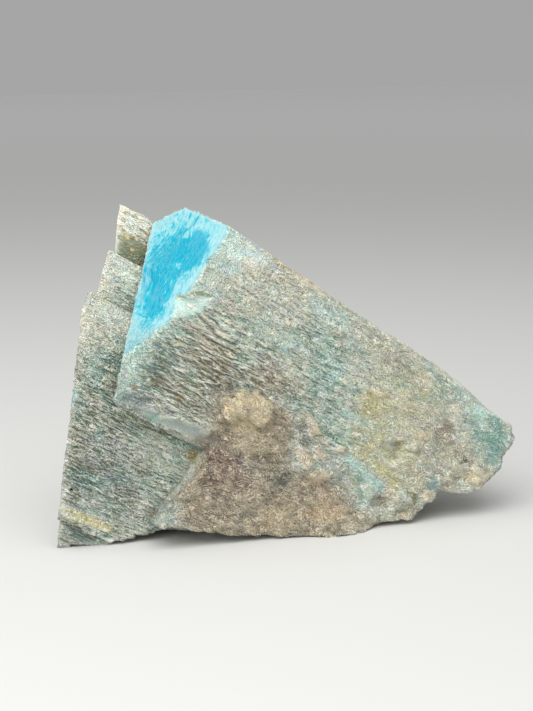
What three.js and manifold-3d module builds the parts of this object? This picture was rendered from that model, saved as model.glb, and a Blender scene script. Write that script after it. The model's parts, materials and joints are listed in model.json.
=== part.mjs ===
// Rough amazonite: blocky microcline crystals grown parallel and into each other, with brown matrix
// grown onto the lower front and a broken underside that the group rests on.
// Millimetres, +Z up, origin at the middle of the footprint on the ground.
//
// The crystals are described in their own frame, [along, back, up]: along runs down their length to
// the right, back goes in from the lead crystal's front face, and up goes across them on that face.

import * as THREE from "three";
import { ConvexGeometry } from "three/addons/geometries/ConvexGeometry.js";
import { ImprovedNoise } from "three/addons/math/ImprovedNoise.js";
import { mergeVertices } from "three/addons/utils/BufferGeometryUtils.js";
import Module from "manifold-3d";

const wasm = await Module();
wasm.setup();

// How the group stands: its length dips to the right and its front face leans back.
const PITCH_DEG = 31;
const LEAN_DEG = 5;
const FRONT_FACE_Y = -3.5;

// The lead crystal: its front face lies at back = 0, and its smooth end face holds three corners.
const END_LOW = [-48.4, 0, 11.5];
const END_FRONT_TOP = [-43.7, 0, 52];
const END_REAR_TOP = [-54.7, 15.4, 51.1];
const TOP_REAR = [-51.1, 11.3, 57];
const FLANK_REAR = [-42.2, 10, 11.5];
const LEAD_BACK = 27;
const LEAD_RIGHT = 45;
const LEAD_TOP_LINE = [
  [-52, 57.3],
  [-39, 56.7],
  [-6, 54.4],
  [24, 52.4],
  [46, 47],
];
const TOP_WEAR = 1.1;
const LEAD_UNDERSIDE = 11.2;
const LEDGE_RIGHT = [-25.5, 0, 15.8];
const LEDGE_LIP_RIGHT = [-25.5, 2.8, 11.9];
const LEAD_MIDDLE = [0, 12, 34];

// The crystals behind it step up and back. The edge is the left one of each front face, as points
// [along, up], and the bevel along its top is [up, back].
const REAR_CRYSTALS = [
  { front: 8.2, back: 33, top: 30.2, right: 2, bevel: [4.8, 2.4], edge: [[-63, 29], [-42, -23.6]] },
  {
    front: 12.5,
    back: 37,
    top: 40.7,
    right: 14,
    bevel: [2.2, 0.8],
    edge: [[-61.6, 40], [-59.4, 31], [-38, -20]],
  },
  { front: 17, back: 31, top: 51.2, right: 30, bevel: [4.6, 1.6], edge: [[-63.6, 51.2], [-58.8, 41]] },
  { front: 24, back: 41, top: 34, right: 22, bevel: [1.5, 1.5], edge: [[-54, 34], [-41, 8]] },
  { front: 22, back: 35, top: 45.6, right: 36, bevel: [1.5, 1.5], edge: [[-52, 45], [-39, 17]] },
];
const REAR_BOTTOM = -40;
// A rear crystal's sharp left edge: its end face turns back this far from its front face.
const EDGE_ANGLE_DEG = 60;
// How far a rear crystal's top sinks over each millimetre to the left, and its rear corner's slope.
const TOP_TILT = 0.03;
const REAR_CORNER = [0.2, 1, 1];

// The lower body: the matrix and the crystals buried in it. Its outline is [along, up] at the front.
const BODY_OUTLINE = [
  [-22.8, 14],
  [-22.6, 8],
  [-23.1, 1.6],
  [-24.7, -4.2],
  [-25.4, -9],
  [-21.7, -6.9],
  [-11.4, -3.9],
  [-5, -1.9],
  [-3, -4],
  [16, 2],
  [47, 22],
  [45.6, 34],
  [44.6, 43],
  [41.2, 49.4],
  [30, 50],
  [-10, 40],
];
const BODY_BACK = 25;

// Broken faces that end the group on the right, where it came off its pocket wall.
const BREAKS = [
  { facing: [0.9, 0.42, -0.12], through: [43.4, 6, 40] },
  { facing: [0.52, 0.84, -0.1], through: [36, 22, 40] },
  { facing: [0.1, 0.8, -0.6], through: [10, 36, 4] },
];

// Where the low left corner has split back below a crease, [along, up] on the first rear crystal.
const CREASE = [[-43, -17.4], [-31, -17]];
const CREASE_DEPTH = 1.3;

// A chip out of the edge between the end face and the front face.
const CHIP_ROOF = [[-46.6, 37.9], [-39.8, 41.1]];
const CHIP_DEPTH = 1.5;
const CHIP_DROP = 4.6;
const CHIP_FOOT_SHIFT = 1.4;

// Swellings of the front: their middles [along, up], radius and height. The last one is a hollow.
const SWELLINGS = [
  { at: [8, 5], radius: 12, height: 1.4 },
  { at: [15, 8.5], radius: 9, height: 3.2 },
  { at: [-9, 8], radius: 13, height: 1.4 },
  { at: [-17.5, 23.5], radius: 7.5, height: 1.9 },
  { at: [-23, 21.5], radius: 3.2, height: 1.2 },
  { at: [-12.5, 25.5], radius: 4, height: 0.9 },
  { at: [-3.7, 27], radius: 2.2, height: 0.7 },
  { at: [0, 18.6], radius: 4.6, height: 1 },
  { at: [27.6, 24], radius: 4, height: 1.2 },
  { at: [38, 34], radius: 4.6, height: 1.3 },
  { at: [20, 25], radius: 4, height: -0.9 },
];

// The broken underside: its height above the ground along the front as [x, z], the least height
// further back, the lumps on it, and the feet that the group stands on.
const UNDERSIDE_LINE = [
  [-50, 0.3],
  [-28, 0.7],
  [2, 0.8],
  [10, 0.2],
  [18, 0.2],
  [28, 0.5],
  [36.5, 2],
  [38.8, 4.6],
  [42, 6.4],
  [48.5, 6.1],
  [54, 7.4],
  [57, 10.2],
  [60, 15],
  [64, 24],
];
const FEET = [
  { x: -44, y: 7, rx: 6, ry: 6 },
  { x: 14, y: -3, rx: 8, ry: 6 },
  { x: -22, y: 26, rx: 9, ry: 6 },
  { x: 20, y: 24, rx: 10, ry: 7 },
];
const FRONT_DEPTH = [3, 16];
const REAR_LIFT = 0.9;
const LUMPS = { size: 13, height: 1.9 };
const UNDERSIDE_BLOCK = { width: 132, depth: 66, height: 50, step: 3, middle: [6, 15] };
const FOOT_TRIM = 0.8;

// The upper limit of the matrix on the front, [along, up].
const MATRIX_TOP = [
  [-26, 12],
  [-22, 22],
  [-14, 28.5],
  [-2, 27.5],
  [20, 30],
  [32, 40],
  [47, 52],
];

// Relief grown on the faces: striae along the crystals, and a hackly skin that is faint on them,
// full on the matrix and strongest where the group is torn off on the right.
const STRIA = { length: 11, pitch: 3.1, height: 0.5 };
const HACKLE = { size: 4.2, height: 0.65, onCrystal: 0.4, onTorn: 2 };

// The longest edge of a facet, along the crystals and across them.
const FACET = { along: 9, across: 3.45 };
const END_FACET_SHARE = 6;
const ON_FACE = 0.05;
const HACKLE_START = 40;

// Limits of the mesh code.
const MOST_CORNERS = 1e6;
const MOST_SWEEPS = 12;
const LEAST_FACING = 1e-4;
const FLAT_ANGLE = 0.01;
const BEYOND = 200;

const noise = new ImprovedNoise();
const radians = THREE.MathUtils.degToRad;
const toStanding = new THREE.Matrix4()
  .makeTranslation(0, FRONT_FACE_Y, 0)
  .multiply(new THREE.Matrix4().makeRotationX(-radians(LEAN_DEG)))
  .multiply(new THREE.Matrix4().makeRotationY(radians(PITCH_DEG)));
const toCrystal = toStanding.clone().invert();

// ---- solids ----

function solid(geometry) {
  const bare = geometry.clone();
  bare.deleteAttribute("normal");
  bare.deleteAttribute("uv");
  const welded = mergeVertices(bare, 1e-4);
  const mesh = new wasm.Mesh({
    numProp: 3,
    vertProperties: new Float32Array(welded.attributes.position.array),
    triVerts: new Uint32Array(welded.index.array),
  });
  return new wasm.Manifold(mesh);
}

function joined(solids) {
  return solids.reduce((all, next) => all.add(next));
}

// A solid's corners, and its triangles as triples of their numbers.
function meshOf(shape) {
  const { numProp, vertProperties, triVerts } = shape.getMesh();
  const points = [];
  const triangles = [];
  for (let i = 0; i < vertProperties.length; i += numProp)
    points.push(new THREE.Vector3().fromArray(vertProperties, i));
  for (let i = 0; i < triVerts.length; i += 3) triangles.push([...triVerts.subarray(i, i + 3)]);
  return { points, triangles };
}

function geometryOf(points, triangles) {
  return new THREE.BufferGeometry().setFromPoints(points).setIndex(triangles.flat());
}

function vector(point) {
  return new THREE.Vector3(...point);
}

// The plane of a crystal face that looks out along `facing` and holds `point`.
function face(facing, point) {
  return new THREE.Plane().setFromNormalAndCoplanarPoint(vector(facing).normalize(), vector(point));
}

// The plane through three points, turned to look away from `inside`.
function faceThrough(a, b, c, inside) {
  const plane = new THREE.Plane().setFromCoplanarPoints(vector(a), vector(b), vector(c));
  return plane.distanceToPoint(vector(inside)) > 0 ? plane.negate() : plane;
}

// The convex solid inside a set of faces: its corners are where three faces meet within all others.
function crystal(faces) {
  const corners = [];
  const matrix = new THREE.Matrix3();
  faces.forEach((p, i) =>
    faces.slice(i + 1).forEach((q, j) =>
      faces.slice(i + j + 2).forEach((r) => {
        const rows = [p.normal, q.normal, r.normal];
        matrix.set(...rows.flatMap((n) => n.toArray()));
        if (Math.abs(matrix.determinant()) < 1e-6) return;
        const corner = new THREE.Vector3(-p.constant, -q.constant, -r.constant);
        corner.applyMatrix3(matrix.invert());
        if (faces.every((f) => f.distanceToPoint(corner) < 1e-4)) corners.push(corner);
      }),
    ),
  );
  return solid(new ConvexGeometry(corners));
}

// A line [along, up] across the front, as a face that runs straight back and looks to one side.
function edgeFace([a, b], facing) {
  const run = new THREE.Vector3(b[0] - a[0], 0, b[1] - a[1]);
  const normal = run.cross(new THREE.Vector3(0, 1, 0)).normalize();
  if (normal.dot(vector(facing)) < 0) normal.negate();
  return face(normal.toArray(), [a[0], 0, a[1]]);
}

function leadCrystal() {
  const tops = LEAD_TOP_LINE.slice(1).flatMap((end, i) => {
    const top = edgeFace([LEAD_TOP_LINE[i], end], [0, 0, 1]);
    const worn = top.normal.clone().add(vector([0, -1, 0]));
    return [top, face(worn.toArray(), [end[0], TOP_WEAR, end[1]])];
  });
  return crystal([
    face([0, -1, 0], [0, 0, 0]),
    face([0, 1, 0], [0, LEAD_BACK, 0]),
    face([1, 0, 0], [LEAD_RIGHT, 0, 0]),
    face([0, 0, -1], [0, 0, LEAD_UNDERSIDE]),
    faceThrough(END_LOW, END_FRONT_TOP, END_REAR_TOP, LEAD_MIDDLE),
    faceThrough(END_LOW, END_REAR_TOP, FLANK_REAR, LEAD_MIDDLE),
    faceThrough(END_LOW, LEDGE_RIGHT, LEDGE_LIP_RIGHT, LEAD_MIDDLE),
    faceThrough(END_REAR_TOP, TOP_REAR, [0, TOP_REAR[1], TOP_REAR[2]], LEAD_MIDDLE),
    ...tops,
  ]);
}

function rearCrystal({ front, back, top, right, edge, bevel }) {
  const [bevelUp, bevelBack] = bevel;
  const turn = radians(EDGE_ANGLE_DEG);
  const ends = edge.slice(1).map((low, i) => {
    const side = edgeFace([edge[i], low], [-1, 0, 0]).normal;
    const facing = [side.x * Math.sin(turn), Math.cos(turn), side.z * Math.sin(turn)];
    return face(facing, [low[0], front, low[1]]);
  });
  return crystal([
    face([0, -1, 0], [0, front, 0]),
    face([0, 1, 0], [0, back, 0]),
    face([1, 0, 0], [right, 0, 0]),
    face([0, 0, -1], [0, 0, REAR_BOTTOM]),
    face([-TOP_TILT, 0, 1], [edge[0][0], front, top]),
    face([0, -bevelUp, bevelBack], [0, front, top - bevelUp]),
    face(REAR_CORNER, [0, back, top - bevelUp]),
    ...ends,
  ]);
}

function lowerBody() {
  const outline = new THREE.Shape(BODY_OUTLINE.map(([along, up]) => new THREE.Vector2(along, up)));
  const extruded = new THREE.ExtrudeGeometry(outline, { depth: BODY_BACK, bevelEnabled: false });
  return solid(extruded.rotateX(Math.PI / 2).translate(0, BODY_BACK, 0));
}

// ---- chips and cracks ----

function breakCut({ facing, through }) {
  const outward = vector(facing).normalize();
  const turn = new THREE.Quaternion().setFromUnitVectors(new THREE.Vector3(0, 0, 1), outward);
  const beyond = new THREE.BoxGeometry(BEYOND, BEYOND, BEYOND).translate(0, 0, BEYOND / 2);
  return solid(beyond.applyQuaternion(turn).translate(...through));
}

// The corner below the crease: what lies in front of the split and under the crease goes.
function creaseCut() {
  const [left, right] = CREASE;
  const front = REAR_CRYSTALS[0].front;
  return crystal([
    edgeFace([left, right], [0, 0, 1]),
    face([0, 1, 0.12], [left[0], front + CREASE_DEPTH, left[1]]),
    face([0, -1, 0], [0, front - 1, 0]),
    face([-1, 0, 0], [left[0] - 12, 0, 0]),
    face([1, 0, 0], [right[0] + 3, 0, 0]),
    face([0, 0, -1], [0, 0, REAR_BOTTOM]),
  ]);
}

// The chip: a short roof under the upper part of the edge, and a slope running out below it.
function chipCut() {
  const [left, right] = CHIP_ROOF;
  const foot = [left[0] + CHIP_FOOT_SHIFT, 0, left[1] - CHIP_DROP];
  const deep = [left[0], CHIP_DEPTH, left[1]];
  return crystal([
    edgeFace([left, right], [0, 0, 1]),
    faceThrough([right[0], 0, right[1]], deep, foot, [left[0], -1, left[1] - 1]),
    face([0, -1, 0], [0, -3, 0]),
    face([-1, 0, 0], [left[0] - 6, 0, 0]),
    face([0, 0, -1], [0, 0, foot[2] - 3]),
  ]);
}

// ---- the surface ----

// A number for the edge between two corners, the same from either side, or one for each direction.
function edgeKey(a, b) {
  return Math.min(a, b) * MOST_CORNERS + Math.max(a, b);
}

function directedKey(a, b) {
  return a * MOST_CORNERS + b;
}

// Halves every edge that is too long, until none is, and evens the triangles after each pass.
function refine(points, triangles) {
  const halves = new Map();
  for (const triangle of triangles)
    for (const [p, q] of sidesOf(triangle)) {
      if (halves.has(edgeKey(p, q)) || !isLong(points[p], points[q])) continue;
      halves.set(edgeKey(p, q), points.length);
      points.push(points[p].clone().lerp(points[q], 0.5));
    }
  if (!halves.size) return triangles;
  return refine(points, evened(points, triangles.flatMap((t) => parted(points, t, halves))));
}

function sidesOf([a, b, c]) {
  return [[a, b], [b, c], [c, a]];
}

function isLong(a, b) {
  const onEnd = [a, b].every((point) => Math.abs(endFace.distanceToPoint(point)) < ON_FACE);
  return drawnIn(a).distanceTo(drawnIn(b)) > (onEnd ? END_FACET_SHARE : 1);
}

// Lengths are compared after the crystals' length is drawn in, so that facets lie along the striae.
function drawnIn(point) {
  return new THREE.Vector3(point.x / FACET.along, point.y / FACET.across, point.z / FACET.across);
}

// A triangle parted at the halves of its own long edges.
function parted(points, [a, b, c], halves) {
  const [ab, bc, ca] = sidesOf([a, b, c]).map(([p, q]) => halves.get(edgeKey(p, q)));
  if (ab && bc && ca) return [[a, ab, ca], [ab, b, bc], [ca, bc, c], [ab, bc, ca]];
  if (ab && bc) return [[ab, b, bc], ...quad(points, a, ab, bc, c)];
  if (bc && ca) return [[bc, c, ca], ...quad(points, b, bc, ca, a)];
  if (ca && ab) return [[ca, a, ab], ...quad(points, c, ca, ab, b)];
  if (ab) return [[a, ab, c], [ab, b, c]];
  if (bc) return [[b, bc, a], [bc, c, a]];
  if (ca) return [[c, ca, b], [ca, a, b]];
  return [[a, b, c]];
}

function quad(points, p, q, r, s) {
  const isShort = points[p].distanceTo(points[r]) < points[q].distanceTo(points[s]);
  return isShort ? [[p, q, r], [p, r, s]] : [[p, q, s], [q, r, s]];
}

function angleAt(corner, a, b) {
  return a.clone().sub(corner).angleTo(b.clone().sub(corner));
}

// The direction a triangle faces, as long as twice its area.
function facingOf(a, b, c) {
  return b.clone().sub(a).cross(c.clone().sub(a));
}

// Turns the edge that two triangles of a flat face share where the other diagonal fits better.
function evened(points, triangles) {
  const drawn = points.map(drawnIn);
  for (let sweep = 0; sweep < MOST_SWEEPS; sweep++) {
    const owners = new Map();
    triangles.forEach((t, i) => sidesOf(t).forEach(([p, q]) => owners.set(directedKey(p, q), i)));
    const turned = new Set();
    triangles.forEach((triangle, i) => {
      for (const [a, b] of sidesOf(triangle)) {
        const j = owners.get(directedKey(b, a));
        if (turned.has(i) || turned.has(j)) continue;
        const c = triangle.find((p) => p !== a && p !== b);
        const d = triangles[j].find((p) => p !== a && p !== b);
        if (owners.has(directedKey(c, d)) || owners.has(directedKey(d, c))) continue;
        const [drawnA, drawnB, drawnC, drawnD] = [a, b, c, d].map((p) => drawn[p]);
        if (angleAt(drawnC, drawnA, drawnB) + angleAt(drawnD, drawnA, drawnB) < Math.PI + 1e-5) continue;
        const four = [[a, b, c], [b, a, d], [a, d, c], [d, b, c]];
        if (!isFlat(four.map((t) => facingOf(...t.map((p) => points[p]))))) continue;
        triangles[i] = four[2];
        triangles[j] = four[3];
        owners.set(directedKey(c, d), i).set(directedKey(d, c), j);
        turned.add(i).add(j);
      }
    });
    if (!turned.size) break;
  }
  return triangles;
}

function isFlat(facings) {
  return facings.every((f) => f.length() > LEAST_FACING && f.angleTo(facings[0]) < FLAT_ANGLE);
}

// 0 at `from`, 1 at `to`, eased between them; `from` may be the greater.
function eased(from, to, value) {
  return THREE.MathUtils.smoothstep((value - from) / (to - from), 0, 1);
}

// The height of a line of [x, y] points at x.
function lineAt(line, x) {
  const i = line.findIndex((point) => point[0] > x);
  if (i === 0) return line[0][1];
  if (i < 0) return line.at(-1)[1];
  const [[x0, y0], [x1, y1]] = [line[i - 1], line[i]];
  return y0 + ((y1 - y0) * (x - x0)) / (x1 - x0);
}

// How far a point of the surface stands off its flat face. The lead crystal's end face has no relief.
function reliefAt(point, facing) {
  const offset = new THREE.Vector3();
  if (Math.abs(endFace.distanceToPoint(point)) < ON_FACE) return offset;
  const { x: along, y: back, z: up } = point;
  const ridges = 1 - 2 * Math.abs(noise.noise(along / STRIA.length, back / STRIA.pitch, up / STRIA.pitch));
  const rough = noise.noise(...[along, back, up].map((value) => value / HACKLE.size + HACKLE_START));
  const matrix = eased(2, -2, up - lineAt(MATRIX_TOP, along));
  const torn = eased(0.45, 0.7, facing.x);
  const stria = STRIA.height * (ridges - 0.5) * (1 - matrix) * (1 - torn);
  const hackle = HACKLE.height * rough * Math.max(HACKLE.onCrystal, matrix, HACKLE.onTorn * torn);
  offset.addScaledVector(facing, stria + hackle);
  const frontness = eased(0.2, 0.8, -facing.y) * eased(7, 5, back);
  for (const { at, radius, height } of SWELLINGS) {
    const reach = Math.min(Math.hypot(along - at[0], up - at[1]) / radius, 1);
    offset.y -= height * frontness * (1 - reach ** 2) ** 2;
  }
  return offset;
}

function roughened(shape) {
  const { points, triangles: coarse } = meshOf(shape);
  const triangles = refine(points, coarse);
  const facings = points.map(() => new THREE.Vector3());
  for (const triangle of triangles) {
    const facing = facingOf(...triangle.map((p) => points[p]));
    for (const p of triangle) facings[p].add(facing);
  }
  const moved = points.map((point, i) => point.clone().add(reliefAt(point, facings[i].normalize())));
  return geometryOf(moved, triangles);
}

// ---- the ground ----

// 1 on a foot, 0 off it, with a ragged rim.
function footShare(x, y) {
  const ragged = 1 + 0.5 * noise.noise(x / 5, y / 5, 1.7);
  const reaches = FEET.map((foot) => Math.hypot((x - foot.x) / foot.rx, (y - foot.y) / foot.ry));
  return eased(1.25, 0.85, Math.min(...reaches) * ragged);
}

function undersideAt(x, y) {
  const front = lineAt(UNDERSIDE_LINE, x);
  const rear = Math.max(front, REAR_LIFT);
  const waves = noise.noise(x / LUMPS.size, y / LUMPS.size, 3.3) + 0.5;
  const lump = LUMPS.height * Math.max(waves + 0.5 * noise.noise((2 * x) / LUMPS.size, y / 6, 8.1), 0);
  const free = THREE.MathUtils.lerp(front, rear, eased(...FRONT_DEPTH, y)) + lump * eased(-2, 6, y);
  return THREE.MathUtils.lerp(free, -FOOT_TRIM, footShare(x, y));
}

// What lies below the broken underside: a block whose top is its relief.
function undersideCut() {
  const { width, depth, height, step, middle } = UNDERSIDE_BLOCK;
  const block = new THREE.BoxGeometry(width, depth, height, width / step, depth / step, 1);
  block.translate(...middle, -height / 2);
  const corners = block.attributes.position;
  for (let i = 0; i < corners.count; i++)
    if (corners.getZ(i) > -1) corners.setZ(i, undersideAt(corners.getX(i), corners.getY(i)));
  return solid(block.applyMatrix4(toCrystal));
}

function ground() {
  return solid(new THREE.BoxGeometry(BEYOND, BEYOND, BEYOND).translate(0, 0, -BEYOND / 2));
}

// ---- the specimen ----

const endFace = faceThrough(END_LOW, END_FRONT_TOP, END_REAR_TOP, LEAD_MIDDLE);
const grown = joined([leadCrystal(), lowerBody(), ...REAR_CRYSTALS.map(rearCrystal)]);
const broken = grown.subtract(joined([...BREAKS.map(breakCut), creaseCut(), chipCut(), undersideCut()]));
const stood = roughened(broken).applyMatrix4(toStanding);
const { points, triangles } = meshOf(solid(stood).subtract(ground()));
const geometry = geometryOf(points, triangles);
geometry.computeBoundingBox();
const middle = geometry.boundingBox.getCenter(new THREE.Vector3());
geometry.translate(-middle.x, -middle.y, -geometry.boundingBox.min.z);

const stone = new THREE.MeshStandardMaterial({ color: 0xa4b2a6, roughness: 0.75, metalness: 0 });
const cluster = new THREE.Mesh(geometry, stone);
cluster.name = "amazonite_cluster";
const specimen = new THREE.Group();
specimen.add(cluster);

export default specimen;
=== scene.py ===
import json
import math
from types import SimpleNamespace

import bmesh
import bpy
import numpy as np
from mathutils import Matrix, Vector

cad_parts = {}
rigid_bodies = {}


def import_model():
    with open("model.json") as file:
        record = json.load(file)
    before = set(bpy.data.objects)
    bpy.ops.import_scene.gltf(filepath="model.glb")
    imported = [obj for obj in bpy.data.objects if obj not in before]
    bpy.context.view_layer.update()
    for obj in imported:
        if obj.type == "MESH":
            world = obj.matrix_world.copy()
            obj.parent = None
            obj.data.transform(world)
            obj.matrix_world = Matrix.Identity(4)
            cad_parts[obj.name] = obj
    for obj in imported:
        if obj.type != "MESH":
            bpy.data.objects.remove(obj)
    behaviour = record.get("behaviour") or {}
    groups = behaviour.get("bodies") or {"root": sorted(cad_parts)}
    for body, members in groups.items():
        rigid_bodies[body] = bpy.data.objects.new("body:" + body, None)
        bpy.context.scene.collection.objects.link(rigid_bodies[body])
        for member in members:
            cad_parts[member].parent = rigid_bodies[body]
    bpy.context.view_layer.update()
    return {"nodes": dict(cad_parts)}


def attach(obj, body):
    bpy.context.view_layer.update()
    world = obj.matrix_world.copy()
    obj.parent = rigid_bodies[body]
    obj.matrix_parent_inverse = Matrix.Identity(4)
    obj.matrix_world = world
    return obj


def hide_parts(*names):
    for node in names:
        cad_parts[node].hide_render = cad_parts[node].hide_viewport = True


# Rough amazonite: a fine mesh of the crystal group over its faceted solid, with striae, grain and
# weathered colour, on a pale floor in soft studio light.
#
# Shapes and patches are given in millimetres in the crystals' own frame, [along, back, up]: along
# their length to the lower right, back from the lead crystal's front face, and up across them.

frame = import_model()

MM = 0.001
PITCH = math.radians(31)
LEAN = math.radians(5)
CRYSTAL_ORIGIN_MM = Vector((-7.218, -20.695, 0))

TO_ROW = (
    Matrix.Scale(MM, 4)
    @ Matrix.Translation(CRYSTAL_ORIGIN_MM)
    @ Matrix.Rotation(-LEAN, 4, "X")
    @ Matrix.Rotation(PITCH, 4, "Y")
)

# Three corners of the lead crystal's smooth end face, the plane that holds the turquoise.
END_LOW = np.array([-48.4, 0, 11.5])
END_FRONT_TOP = np.array([-43.7, 0, 52])
END_REAR_TOP = np.array([-54.7, 15.4, 51.1])
END_NORMAL = np.cross(END_FRONT_TOP - END_LOW, END_REAR_TOP - END_LOW)
END_NORMAL *= -np.sign(END_NORMAL[0]) / np.linalg.norm(END_NORMAL)
END_UPWARD = (END_FRONT_TOP + END_REAR_TOP) / 2 - END_LOW
END_UPWARD /= np.linalg.norm(END_UPWARD)
END_SIDEWAYS = np.cross(END_UPWARD, END_NORMAL)

# Corners of the solid this close are one corner, in metres.
SAME_CORNER = 2e-6
# Edges of the solid sharper than this stay sharp; the others are rounded into each other.
CREASE_DEG = 32
ROUNDING_LEVELS = 2
# The fine mesh has cells this wide across the crystals, and longer along them.
CELL_MM = 0.357
CELL_STRETCH = 0.33
GRID_DEPTH = 8

# The turquoise fades under a border that slants across the end face: how high it is over the
# face's lowest corner, how steep, and over which span it fades.
BORDER_MM = 11.8
BORDER_SLOPE = 1.5
BORDER_FADE = (-5, 4)
# Along the crystals, crisp striae on the left give way to calm swells on the right: from where to
# where each of these grows.
STRIAE_RANGE = (25, -5)
CRISP_RANGE = (20, -8)
CALM_RANGE = (-6, 12)
SWELL_RANGE = (-5, 12)

STRIA_MM = 1.15
# Relief on the crystals: the striae's folds, the thin ridges on them, and broad flat swells.
FOLD_MM = 0.42
RIDGE_MM = 0.16
SWELL_MM = 0.25
# How many times the corners that are worn round are smoothed.
WEAR_ROUNDS = 4
# How much an edge is smoothed: at least, and how much more or less from place to place.
EDGE_WEAR = 0.3
EDGE_WEAR_CHANGE = 0.2


# ---- noise and easing ----

# Each use of noise or blocks has a start of its own, so that no two of them repeat each other.
SEED = 11
random = np.random.default_rng(SEED)
SHUFFLE = np.tile(random.permutation(256), 3)
GRADIENTS = random.normal(size=(256, 3))
GRADIENTS /= np.linalg.norm(GRADIENTS, axis=1, keepdims=True)


def noise(points, size, start):
    """Smooth noise, about -1 to 1, with bumps of the given size along each axis."""
    places = points / np.array(size) + start
    cell = np.floor(places).astype(int)
    inside = places - cell
    fade = inside**3 * (inside * (inside * 6 - 15) + 10)
    total = np.zeros(len(points))
    for corner in np.ndindex(2, 2, 2):
        x, y, z = ((cell + corner) & 255).T
        gradient = GRADIENTS[SHUFFLE[SHUFFLE[SHUFFLE[x] + y] + z]]
        weight = np.prod(np.where(corner, fade, 1 - fade), axis=1)
        total += weight * np.sum(gradient * (inside - corner), axis=1)
    return 1.7 * total


def blocks(points, size, start):
    """Flat facets, each tilted its own way, as where small blocky crystals stand: about -1 to 1."""
    places = points / np.array(size) + start
    cell = np.floor(places).astype(int)
    nearest = np.full(len(points), np.inf)
    height = np.zeros(len(points))
    for step in np.ndindex(3, 3, 3):
        near = cell + step - 1
        x, y, z = (near & 255).T
        pick = SHUFFLE[SHUFFLE[SHUFFLE[x] + y] + z]
        offset = places - (near + 0.5 + 0.3 * GRADIENTS[pick])
        reach = np.sum(offset**2, axis=1)
        tilted = 1.4 * np.sum(offset * GRADIENTS[(pick + 97) & 255], axis=1)
        height = np.where(reach < nearest, tilted, height)
        nearest = np.minimum(nearest, reach)
    return height


def eased(low, high, value):
    """0 at low, 1 at high, eased between them; low may be the greater."""
    share = np.clip((value - low) / (high - low), 0, 1)
    return share * share * (3 - 2 * share)


# ---- the fine mesh ----


def placed(name, data):
    """A new object of that mesh, lamp or camera, in the scene."""
    piece = bpy.data.objects.new(name, data)
    bpy.context.scene.collection.objects.link(piece)
    return piece


def fine_mesh(source):
    """The solid's surface with its facets rounded, in even small cells, in the crystals' frame."""
    grid = bmesh.new()
    grid.from_mesh(source.data)
    bmesh.ops.remove_doubles(grid, verts=grid.verts, dist=SAME_CORNER)
    grid.transform(TO_ROW.inverted())
    crease = grid.edges.layers.float.new("crease_edge")
    for edge in grid.edges:
        edge[crease] = float(edge.calc_face_angle() > math.radians(CREASE_DEG))
    grid.transform(Matrix.Diagonal((CELL_STRETCH, 1, 1, 1)))
    corners = np.array([corner.co for corner in grid.verts])
    reach = np.ptp(corners, axis=0).max()
    mesh = bpy.data.meshes.new("amazonite")
    grid.to_mesh(mesh)
    grid.free()

    piece = placed("amazonite", mesh)
    rounding = piece.modifiers.new("rounding", "SUBSURF")
    rounding.levels = rounding.render_levels = ROUNDING_LEVELS
    cells = piece.modifiers.new("cells", "REMESH")
    cells.mode = "SHARP"
    cells.octree_depth = GRID_DEPTH
    cells.scale = reach / (CELL_MM * 2**GRID_DEPTH)
    evaluated = piece.evaluated_get(bpy.context.evaluated_depsgraph_get())
    fine = bpy.data.meshes.new_from_object(evaluated)
    piece.modifiers.clear()
    piece.data = fine
    fine.transform(Matrix.Diagonal((1 / CELL_STRETCH, 1, 1, 1)))
    return piece


def rows_of(mesh, source, name):
    """Three numbers for each vertex, one row for each."""
    flat = np.empty(len(mesh.vertices) * 3, np.float32)
    source.foreach_get(name, flat)
    return flat.reshape(-1, 3).astype(float)


def points_of(mesh):
    return rows_of(mesh, mesh.vertices, "co")


def facings_of(mesh):
    return rows_of(mesh, mesh.vertex_normals, "vector")


def set_points(mesh, points):
    mesh.vertices.foreach_set("co", points.astype(np.float32).ravel())
    mesh.update()


def keep(mesh, name, values):
    """Stores one number or one row of three for each vertex, for the material to read."""
    kind, field = ("FLOAT", "value") if values.ndim == 1 else ("FLOAT_VECTOR", "vector")
    attribute = mesh.attributes.new(name, kind, "POINT")
    attribute.data.foreach_set(field, values.astype(np.float32).ravel())


class Neighbours:
    """Averages over each vertex's neighbours."""

    def __init__(self, mesh):
        edges = np.empty(len(mesh.edges) * 2, int)
        mesh.edges.foreach_get("vertices", edges)
        self.ends = edges.reshape(-1, 2)
        self.counts = np.bincount(edges, minlength=len(mesh.vertices))

    def average(self, values):
        a, b = self.ends.T
        total = np.zeros_like(values)
        np.add.at(total, a, values[b])
        np.add.at(total, b, values[a])
        return (total.T / self.counts).T


def depth_below(points, facings, neighbours, rounds):
    """How far each point lies below the mean of what is around it, in millimetres."""
    around = points
    for _ in range(rounds):
        around = neighbours.average(around)
    return np.sum((around - points) * facings, axis=1)


# ---- patches ----


def in_three(numbers, back):
    """[along, back, up] from numbers that may leave back out."""
    return np.array(numbers if len(numbers) == 3 else (numbers[0], back, numbers[1]))


def distance(points, middle, radii, turn_deg=0):
    """How far points are from a patch's middle, as a share of its radii."""
    offset = points - in_three(middle, 0)
    turn = math.radians(turn_deg)
    along = offset[:, 0] * math.cos(turn) + offset[:, 2] * math.sin(turn)
    up = offset[:, 2] * math.cos(turn) - offset[:, 0] * math.sin(turn)
    turned = np.stack([along, offset[:, 1], up], axis=1)
    return np.linalg.norm(turned / in_three(radii, PATCH_DEPTH), axis=1)


def wandering(points, size, reach):
    """The points, each moved by a smooth random amount, so that borders drawn on them wander."""
    sizes = (size, size, size)
    moves = [noise(points, sizes, start) for start in (3.1, 17.7, 41.3)]
    return points + reach * np.stack(moves, axis=1)


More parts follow.
